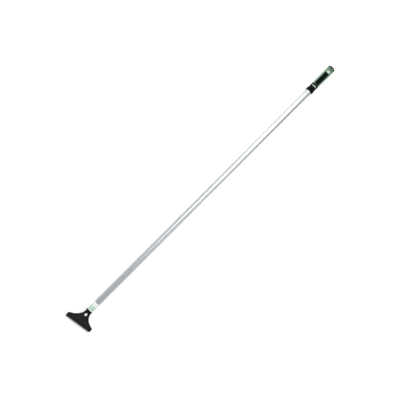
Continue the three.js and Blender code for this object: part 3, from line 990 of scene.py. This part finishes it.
for side in (1, -1):
    pocket = pad_shell(pad_pocket, 6 * MM)
    combine(pocket, pad_area(side, gap), "INTERSECT")
    combine(core, pocket)


def true_up(piece, radius_at, reach):
    """Draw the outer points near the turned line onto it, and leave the rounded edges alone."""
    back = in_grip.inverted()
    outwards = [back.to_3x3() @ vertex.normal for vertex in piece.data.vertices]
    moved = 0
    for vertex, normal in zip(piece.data.vertices, outwards):
        x, y, z = back @ vertex.co
        radius = math.hypot(y, z)
        wanted = radius_at(x)
        facing = (normal.y * y + normal.z * z) / max(radius, MM)
        near = 1 - eased_step(abs(radius - wanted), 0.2 * reach, reach)
        pull = near * eased_step(facing, 0.93, 0.99)
        if pull > 0:
            scale = mix(radius, wanted, pull) / radius
            vertex.co = in_grip @ Vector((x, y * scale, z * scale))
            moved += 1
    print(piece.name, "points trued", moved, "of", len(piece.data.vertices))


mould(core, voxel=0.33 * MM, relax=9, keep=0.55)
true_up(core, core_radius, 0.25 * MM)
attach(core, "tool")
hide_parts("grip_core")
report(core)

# %% [markdown]
# ### The pads
#
# Each pad is a strip of a shell that follows the core, a little proud of it, with soft edges. Both
# are made the same way, one on each face.

# %% Cut the pads
pads = []
for side, node in ((1, "grip_pad_top"), (-1, "grip_pad_bottom")):
    pad = pad_shell(pad_pocket - gap, pad_proud)
    pad.name = node + "_soft"
    combine(pad, pad_area(side, 0), "INTERSECT")
    mould(pad, voxel=0.25 * MM, relax=7, keep=0.6)
    true_up(pad, lambda x: core_radius(x) + pad_proud, 0.2 * MM)
    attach(pad, "tool")
    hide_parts(node)
    pads.append(pad)
    report(pad)

# %% [markdown]
# ### The end cap
#
# The cap is a soft black disc with a domed end, pressed over the core's tail.

# %% Turn the end cap
cap_seat = core_end + tail_length + gap
cap_dome = [
    (cap_start + gap, cap_radius - 0.3 * MM),
    (cap_start + gap + 0.3 * MM, cap_radius),
    (grip_length - 2.4 * MM, cap_radius),
    (grip_length - 1.5 * MM, cap_radius - 0.35 * MM),
    (grip_length - 0.7 * MM, cap_radius - 1.3 * MM),
    (grip_length - 0.2 * MM, cap_radius - 3 * MM),
    (grip_length, cap_radius - 5.5 * MM),
    (grip_length, 6 * MM),
    (grip_length, 4 * MM),
    (grip_length, 2 * MM),
    (grip_length, 0),
]
cap_inside = [(cap_seat, 0), (cap_seat, tail_radius + gap), (cap_start + gap, tail_radius + gap)]
cap_profile = eased(cap_dome + cap_inside, 0.5 * MM, closed=True)
cap = turned("end_cap_soft", in_grip, cap_profile, facets=128, closed=True)
smooth(cap, 40)
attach(cap, "tool")
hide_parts("end_cap")
report(cap)

# %% [markdown]
# ## Effects that finishes share
#
# A finish is colour, shine and a fine surface. The same fine surfaces come back on several pieces:
# the grain of a moulding, the lines a die or a wheel leaves, the patches that hands leave, and the
# light wear on edges. Each is built once as a node group that puts out a mask or a height, and each
# material then uses it at its own scale and strength. The coordinates come from the material, in
# metres on the piece, so a pattern has its real size.

# %% Helpers for node trees
def add(tree, kind, settings=None, **sockets):
    """A shader node, with its settings, and its sockets set to a value or joined to another socket."""
    made = tree.nodes.new("ShaderNode" + kind)
    for key, value in (settings or {}).items():
        setattr(made, key, value)
    for key, value in sockets.items():
        join(tree, made.inputs[key.replace("_", " ")], value)
    return made


def join(tree, socket, value):
    if isinstance(value, bpy.types.NodeSocket):
        tree.links.new(value, socket)
    else:
        socket.default_value = value


def maths(tree, operation, *values):
    made = tree.nodes.new("ShaderNodeMath")
    made.operation = operation
    for socket, value in zip(made.inputs, values):
        join(tree, socket, value)
    return made.outputs[0]


def between(tree, value, low, high, to_low=0.0, to_high=1.0):
    """A value's place between two limits, eased, as a mask or as a new range."""
    settings = {"interpolation_type": "SMOOTHSTEP"}
    made = add(tree, "MapRange", settings, Value=value, To_Min=to_low, To_Max=to_high)
    made.inputs["From Min"].default_value = low
    made.inputs["From Max"].default_value = high
    return made.outputs["Result"]


def blend_colours(tree, mask, first, second, share=1.0):
    """From the first colour to the second as the mask goes from 0 to 1, or to a share of it."""
    if share != 1.0:
        mask = maths(tree, "MULTIPLY", mask, share)
    made = add(tree, "Mix", {"data_type": "RGBA"})
    join(tree, made.inputs[0], mask)
    for socket, value in ((made.inputs[6], first), (made.inputs[7], second)):
        join(tree, socket, value if isinstance(value, bpy.types.NodeSocket) else (*value, 1))
    return made.outputs[2]


def bend_values(tree, mask, first, second):
    """A number that goes from the first to the second as the mask goes from 0 to 1."""
    made = add(tree, "Mix", {"data_type": "FLOAT"})
    for socket, value in zip(made.inputs[:1] + made.inputs[2:4], (mask, first, second)):
        join(tree, socket, value)
    return made.outputs[0]


def effect(name, inputs, outputs):
    """An empty node group with named inputs and outputs."""
    group = bpy.data.node_groups.new(name, "ShaderNodeTree")
    for title, kind, value in inputs:
        socket = group.interface.new_socket(title, in_out="INPUT", socket_type="NodeSocket" + kind)
        if value is not None:
            socket.default_value = value
    for title in outputs:
        group.interface.new_socket(title, in_out="OUTPUT", socket_type="NodeSocketFloat")
    return group, group.nodes.new("NodeGroupInput"), group.nodes.new("NodeGroupOutput")


# %% [markdown]
# ### Grain, lines, hands and edges
#
# Mould grain is a fine noise with a coarser one under it. Drawn or ground lines are a noise that is
# stretched along one direction. Hand marks are wide soft patches. Edge wear uses how sharply the mesh
# turns at a point, broken up by a noise, so it only suits the densely meshed mouldings.

# %% Build the shared effects
def build_grain():
    inputs = [("Vector", "Vector", None), ("Scale", "Float", 1500.0)]
    group, given, put = effect("mould_grain", inputs, ["Height"])
    fine = add(group, "TexNoise", Vector=given.outputs[0], Scale=given.outputs[1], Detail=3.0, Roughness=0.6)
    wide_scale = maths(group, "MULTIPLY", given.outputs[1], 0.22)
    wide = add(group, "TexVoronoi", Vector=given.outputs[0], Scale=wide_scale)
    height = bend_values(group, 0.3, fine.outputs[0], wide.outputs["Distance"])
    group.links.new(height, put.inputs["Height"])
    return group


def build_lines():
    inputs = [("Vector", "Vector", None), ("Stretch", "Vector", (20.0, 3000.0, 3000.0))]
    group, given, put = effect("fine_lines", inputs, ["Height", "Streak"])
    stretched = add(group, "VectorMath", {"operation": "MULTIPLY"})
    group.links.new(given.outputs[0], stretched.inputs[0])
    group.links.new(given.outputs[1], stretched.inputs[1])
    lines = add(group, "TexNoise", Vector=stretched.outputs[0], Scale=1.0, Detail=4.0, Roughness=0.65)
    wide = add(group, "TexNoise", Vector=stretched.outputs[0], Scale=0.4, Detail=2.0)
    group.links.new(lines.outputs[0], put.inputs["Height"])
    group.links.new(between(group, wide.outputs[0], 0.35, 0.65), put.inputs["Streak"])
    return group


def build_hand_marks():
    inputs = [("Vector", "Vector", None), ("Scale", "Float", 60.0)]
    group, given, put = effect("hand_marks", inputs, ["Patch", "Speck"])
    sockets = {"Vector": given.outputs[0], "Scale": given.outputs[1]}
    patch = add(group, "TexNoise", **sockets, Detail=5.0, Distortion=0.6)
    speck_scale = maths(group, "MULTIPLY", given.outputs[1], 30.0)
    speck = add(group, "TexNoise", Vector=given.outputs[0], Scale=speck_scale, Detail=1.0)
    group.links.new(between(group, patch.outputs[0], 0.42, 0.66), put.inputs["Patch"])
    group.links.new(between(group, speck.outputs[0], 0.68, 0.76), put.inputs["Speck"])
    return group


def build_edge_wear():
    inputs = [("Vector", "Vector", None), ("Scale", "Float", 400.0)]
    group, given, put = effect("edge_wear", inputs, ["Worn"])
    turn = add(group, "NewGeometry").outputs["Pointiness"]
    edge = between(group, turn, 0.535, 0.66)
    broken = add(group, "TexNoise", Vector=given.outputs[0], Scale=given.outputs[1], Detail=3.0)
    group.links.new(maths(group, "MULTIPLY", edge, broken.outputs[0]), put.inputs["Worn"])
    return group


grain, lines = build_grain(), build_lines()
hand_marks, edge_wear = build_hand_marks(), build_edge_wear()
print("effects", [group.name for group in (grain, lines, hand_marks, edge_wear)])


# %% [markdown]
# ## Finishes
#
# Every material starts the same way: the piece's own coordinates, a Principled shader with its fixed
# values set on its sockets, and a bump for the fine surface. The parts that differ are what feeds the
# colour, the roughness and the bump's height.

# %% Start and finish a material
def start_finish(name, metallic=0.0, **fixed):
    material = bpy.data.materials.new(name)
    material.use_nodes = True
    tree = material.node_tree
    shader = tree.nodes["Principled BSDF"]
    shader.inputs["Metallic"].default_value = metallic
    for key, value in fixed.items():
        shader.inputs[key.replace("_", " ")].default_value = value
    place = add(tree, "TexCoord").outputs["Object"]
    return material, tree, shader, place


def use(tree, group, place, **sockets):
    made = add(tree, "Group", {"node_tree": group})
    join(tree, made.inputs["Vector"], place)
    for key, value in sockets.items():
        join(tree, made.inputs[key], value)
    return made


def end_finish(tree, shader, colour, roughness, height, depth):
    """Join the colour, the roughness and a bump of a real depth in metres."""
    join(tree, shader.inputs["Base Color"], colour)
    join(tree, shader.inputs["Roughness"], roughness)
    bump = add(tree, "Bump", Height=height, Distance=depth, Strength=1.0)
    tree.links.new(bump.outputs["Normal"], shader.inputs["Normal"])


# %% [markdown]
# ### Black nylon
#
# The head is glass-filled nylon from a steel mould. The mould's rims are polished, so they come out
# glossier, and their colour is painted darker as painted shade; the sunk face is spark eroded, so it
# is a little greyer and matt. A point's height over the rim's plane tells the two apart. Edges rub pale.

# %% Make the nylon
plate_up = plate_to_row.to_3x3() @ Vector((-rim_slope, 0, 1)).normalized()
rim_point = plate_to_row @ Vector((0, 0, heel_top))


def nylon():
    material, tree, shader, place = start_finish("black_nylon", Specular_IOR_Level=0.13)
    below = add(tree, "VectorMath", {"operation": "DOT_PRODUCT"})
    join(tree, below.inputs[0], place)
    below.inputs[1].default_value = plate_up
    height_over_rim = maths(tree, "SUBTRACT", below.outputs["Value"], plate_up.dot(rim_point))
    # painted shade: this mask paints the rim darker, and also makes it glossier for polish
    shaded_polished_rim = between(tree, height_over_rim, -0.75 * MM, -0.35 * MM)
    fine = use(tree, grain, place, Scale=1700.0)
    marks = use(tree, hand_marks, place, Scale=45.0)
    worn = use(tree, edge_wear, place, Scale=600.0)
    face = blend_colours(tree, marks.outputs["Patch"], (0.0078, 0.0084, 0.0075), (0.0115, 0.0118, 0.0108))
    # the rim's darker colour here is painted shade
    skin = blend_colours(tree, shaded_polished_rim, face, (0.0032, 0.0034, 0.0032))
    rubbed = blend_colours(tree, worn.outputs["Worn"], skin, (0.024, 0.025, 0.023))
    matt = bend_values(tree, marks.outputs["Patch"], 0.56, 0.47)
    roughness = bend_values(tree, shaded_polished_rim, matt, 0.38)
    height = maths(tree, "MULTIPLY", fine.outputs["Height"], bend_values(tree, shaded_polished_rim, 1.0, 0.35))
    end_finish(tree, shader, rubbed, roughness, height, 0.06 * MM)
    return material


black_nylon = nylon()
print("finish", black_nylon.name, len(black_nylon.node_tree.nodes), "nodes")

# %% [markdown]
# ### Black rubber and soft plastic
#
# The collar, the pads and the cap are soft moulded rubber: nearly black, matt, with a pebbled grain
# and a few pale specks of dust.

# %% Make the rubber
def rubber():
    material, tree, shader, place = start_finish("black_rubber", Specular_IOR_Level=0.04)
    pebbles = add(tree, "TexVoronoi", {"feature": "SMOOTH_F1"}, Vector=place, Scale=1100.0)
    fine = use(tree, grain, place, Scale=2600.0)
    marks = use(tree, hand_marks, place, Scale=70.0)
    worn = use(tree, edge_wear, place, Scale=700.0)
    skin = blend_colours(tree, marks.outputs["Patch"], (0.0014, 0.0036, 0.0018), (0.0034, 0.0062, 0.0038))
    rubbed = blend_colours(tree, worn.outputs["Worn"], skin, (0.014, 0.019, 0.015))
    dusty = blend_colours(tree, marks.outputs["Speck"], rubbed, (0.05, 0.052, 0.05), share=0.25)
    roughness = bend_values(tree, marks.outputs["Patch"], 0.62, 0.5)
    height = bend_values(tree, 0.35, pebbles.outputs["Distance"], fine.outputs["Height"])
    end_finish(tree, shader, dusty, roughness, height, 0.09 * MM)
    return material


black_rubber = rubber()
print("finish", black_rubber.name, len(black_rubber.node_tree.nodes), "nodes")

# %% [markdown]
# ### Green plastics
#
# The core is a hard gloss plastic with a thin clear shine and a faint ripple from the mould. Its
# green is painted paler and greyer near the collar, a painted sheen, and deeper towards the cap. The
# inlay is a pale tint of the same green, and matt.

# %% Make the two greens
def gloss_green():
    material, tree, shader, place = start_finish("green_gloss", Coat_Weight=0.35, Coat_Roughness=0.12)
    ripple = add(tree, "TexNoise", Vector=place, Scale=260.0, Detail=1.0)
    fine = use(tree, grain, place, Scale=3200.0)
    marks = use(tree, hand_marks, place, Scale=90.0)
    worn = use(tree, edge_wear, place, Scale=600.0)
    along_grip = maths(tree, "SUBTRACT", add(tree, "SeparateXYZ", Vector=place).outputs["X"], mouth_x)
    # painted sheen: the green is paler and greyer near the collar and deepens towards the cap
    painted_sheen_fade = between(tree, along_grip, 45 * MM, 85 * MM)
    body = blend_colours(tree, painted_sheen_fade, (0.150, 0.225, 0.163), (0.070, 0.185, 0.094))
    clouded = blend_colours(tree, marks.outputs["Patch"], body, (0.15, 0.25, 0.17), share=0.35)
    rubbed = blend_colours(tree, worn.outputs["Worn"], clouded, (0.26, 0.36, 0.28))
    roughness = bend_values(tree, marks.outputs["Patch"], 0.22, 0.36)
    height = bend_values(tree, 0.08, ripple.outputs[0], fine.outputs["Height"])
    end_finish(tree, shader, rubbed, roughness, height, 0.05 * MM)
    return material


def inlay_green():
    material, tree, shader, place = start_finish("pale_green")
    fine = use(tree, grain, place, Scale=2400.0)
    marks = use(tree, hand_marks, place, Scale=180.0)
    colour = blend_colours(tree, marks.outputs["Patch"], (0.25, 0.37, 0.28), (0.20, 0.30, 0.23))
    roughness = bend_values(tree, marks.outputs["Patch"], 0.4, 0.55)
    end_finish(tree, shader, colour, roughness, fine.outputs["Height"], 0.03 * MM)
    return material


green_gloss, pale_green = gloss_green(), inlay_green()
print("finishes", green_gloss.name, pale_green.name)

# %% [markdown]
# ### Drawn aluminium
#
# The pole is drawn through a die, which leaves hair lines along it, and it is satin anodised. Hands
# leave duller patches along it.

# %% Make the aluminium
def aluminium():
    material, tree, shader, place = start_finish("satin_aluminium", metallic=1.0)
    drawn = use(tree, lines, place, Stretch=(14.0, 2600.0, 2600.0))
    scuffs = use(tree, lines, place, Stretch=(900.0, 140.0, 140.0))
    marks = use(tree, hand_marks, place, Scale=24.0)
    metal = blend_colours(tree, drawn.outputs["Streak"], (0.48, 0.495, 0.495), (0.545, 0.56, 0.565))
    colour = blend_colours(tree, marks.outputs["Patch"], metal, (0.46, 0.465, 0.46), share=0.35)
    satin = bend_values(tree, marks.outputs["Patch"], 0.34, 0.43)
    roughness = maths(tree, "ADD", satin, maths(tree, "MULTIPLY", scuffs.outputs["Streak"], 0.05))
    end_finish(tree, shader, colour, roughness, drawn.outputs["Height"], 0.012 * MM)
    return material


satin_aluminium = aluminium()
print("finish", satin_aluminium.name)

# %% [markdown]
# ### The label
#
# The label is a printed film: a white edge at the head, a mint field with three rows of plain leaf
# shapes, a cream margin, a grey line and a white band. The pattern is drawn from the distance along
# the label and the turn round the pole, so it follows the film.

# %% Print the label
def leaf_rows(tree, along, around):
    """A mask of short leaf shapes in three rows, from millimetres along and round the film."""
    rows = 0.0
    for row_middle, shift in ((-8.6, 0.0), (-0.8, 2.1), (7.6, 0.9)):
        shifted = maths(tree, "ADD", along, shift)
        cell = maths(tree, "SUBTRACT", maths(tree, "WRAP", shifted, 4.3, 0.0), 2.15)
        over = maths(tree, "SUBTRACT", around, row_middle)
        slanted = maths(tree, "ADD", cell, maths(tree, "MULTIPLY", over, 0.25))
        length = maths(tree, "POWER", maths(tree, "DIVIDE", slanted, 1.55), 2.0)
        width = maths(tree, "POWER", maths(tree, "DIVIDE", over, 2.5), 2.0)
        leaf = between(tree, maths(tree, "ADD", length, width), 1.15, 0.75)
        rows = maths(tree, "MAXIMUM", leaf, rows)
    return rows


def band(tree, value, rise, fall):
    """A mask that is on between two soft edges."""
    return maths(tree, "MULTIPLY", between(tree, value, *rise), between(tree, value, *fall))


def label_print():
    material, tree, shader, place = start_finish("label_film", Coat_Weight=0.3, Coat_Roughness=0.2)
    spot = add(tree, "SeparateXYZ", Vector=place)
    from_head = maths(tree, "DIVIDE", maths(tree, "SUBTRACT", spot.outputs["X"], label_low.x), MM)
    upward_part = maths(tree, "SUBTRACT", spot.outputs["Z"], axis_z)
    turn = maths(tree, "ARCTAN2", spot.outputs["Y"], upward_part)
    around = maths(tree, "MULTIPLY", turn, label_outer / MM)
    toward = maths(tree, "SUBTRACT", around, view_roll * label_outer / MM)
    field = band(tree, from_head, (1.8, 3.0), (23.5, 20.0))
    cream = band(tree, from_head, (19.0, 21.5), (25.5, 24.8))
    line = band(tree, from_head, (25.2, 25.6), (27.9, 27.4))
    in_field = band(tree, from_head, (3.2, 3.6), (20.4, 20.0))
    leaves = maths(tree, "MULTIPLY", leaf_rows(tree, from_head, toward), in_field)
    fibre = use(tree, grain, place, Scale=2200.0)
    marks = use(tree, hand_marks, place, Scale=220.0)
    paper = blend_colours(tree, marks.outputs["Patch"], (0.82, 0.83, 0.81), (0.74, 0.75, 0.73))
    minty = blend_colours(tree, field, paper, (0.55, 0.70, 0.58))
    warm = blend_colours(tree, cream, minty, (0.78, 0.80, 0.66))
    printed = blend_colours(tree, leaves, warm, (0.14, 0.24, 0.18), share=0.85)
    lined = blend_colours(tree, line, printed, (0.50, 0.49, 0.50))
    roughness = bend_values(tree, marks.outputs["Patch"], 0.42, 0.55)
    end_finish(tree, shader, lined, roughness, fibre.outputs["Height"], 0.02 * MM)
    return material


label_film = label_print()
print("finish", label_film.name)

# %% [markdown]
# ### Steel and brass
#
# The blade is ground on a wheel: lines run along it, and across it on the bevel that makes the edge.
# The clamp and its hardware are zinc plated, a bluish grey with a faint yellow cast in patches, and
# small scratches. The inserts are brass with knurling round them.

# %% Make the metals of the head
def blade_finish():
    material, tree, shader, place = start_finish("blade_steel", metallic=1.0)
    from_edge = maths(tree, "SUBTRACT", add(tree, "SeparateXYZ", Vector=place).outputs["X"], cad_low.x)
    bevel = between(tree, from_edge, 3.05 * MM, 2.95 * MM)
    length_lines = use(tree, lines, place, Stretch=(5200.0, 25.0, 2000.0))
    cross_lines = use(tree, lines, place, Stretch=(120.0, 4800.0, 400.0))
    marks = use(tree, hand_marks, place, Scale=50.0)
    height = bend_values(tree, bevel, length_lines.outputs["Height"], cross_lines.outputs["Height"])
    flat = blend_colours(tree, length_lines.outputs["Streak"], (0.55, 0.56, 0.57), (0.59, 0.60, 0.61))
    ground = blend_colours(tree, cross_lines.outputs["Streak"], (0.68, 0.69, 0.70), (0.72, 0.73, 0.735))
    colour = blend_colours(tree, bevel, flat, ground)
    oiled = blend_colours(tree, marks.outputs["Patch"], colour, (0.42, 0.415, 0.40), share=0.3)
    roughness = bend_values(tree, marks.outputs["Patch"], 0.26, 0.36)
    end_finish(tree, shader, oiled, roughness, height, 0.01 * MM)
    return material


def zinc_finish():
    material, tree, shader, place = start_finish("zinc_steel", metallic=1.0)
    scratches = use(tree, lines, place, Stretch=(1600.0, 90.0, 300.0))
    marks = use(tree, hand_marks, place, Scale=140.0)
    fine = use(tree, grain, place, Scale=3600.0)
    zinc = blend_colours(tree, marks.outputs["Patch"], (0.52, 0.545, 0.57), (0.58, 0.565, 0.51))
    colour = blend_colours(tree, scratches.outputs["Streak"], zinc, (0.66, 0.67, 0.68), share=0.3)
    roughness = bend_values(tree, marks.outputs["Patch"], 0.30, 0.42)
    end_finish(tree, shader, colour, roughness, fine.outputs["Height"], 0.02 * MM)
    return material


def brass_finish():
    material, tree, shader, place = start_finish("brass", metallic=1.0)
    knurl = add(tree, "TexWave", {"bands_direction": "DIAGONAL"}, Vector=place, Scale=700.0, Distortion=0.3)
    marks = use(tree, hand_marks, place, Scale=300.0)
    colour = blend_colours(tree, marks.outputs["Patch"], (0.62, 0.43, 0.16), (0.50, 0.33, 0.12))
    roughness = bend_values(tree, marks.outputs["Patch"], 0.28, 0.42)
    end_finish(tree, shader, colour, roughness, knurl.outputs[1], 0.05 * MM)
    return material


blade_steel, zinc_steel, brass = blade_finish(), zinc_finish(), brass_finish()
print("finishes", blade_steel.name, zinc_steel.name, brass.name)

# %% [markdown]
# ## Put the finishes on
#
# Each piece takes one finish. The CAD nodes that stay visible, the blade and the inserts, get theirs
# in the material slots they already have.

# %% Dress the pieces
def dress(piece, material):
    piece.data.materials.clear()
    piece.data.materials.append(material)
    for face in piece.data.polygons:
        face.material_index = 0


finishes = {
    black_nylon: [head],
    black_rubber: [collar, cap, *pads],
    green_gloss: [core],
    zinc_steel: [clamp, *hardware],
    pale_green: [mark],
    satin_aluminium: [pole],
    label_film: [label],
}
for material, pieces in finishes.items():
    for piece in pieces:
        dress(piece, material)

node_finishes = {
    blade_steel: ["scraper_blade"],
    brass: ["threaded_insert_left", "threaded_insert_right"],
}
for material, nodes in node_finishes.items():
    for node in nodes:
        for material_slot in frame["nodes"][node].material_slots:
            material_slot.material = material
print("dressed pieces", sum(map(len, finishes.values())), "nodes", sum(map(len, node_finishes.values())))
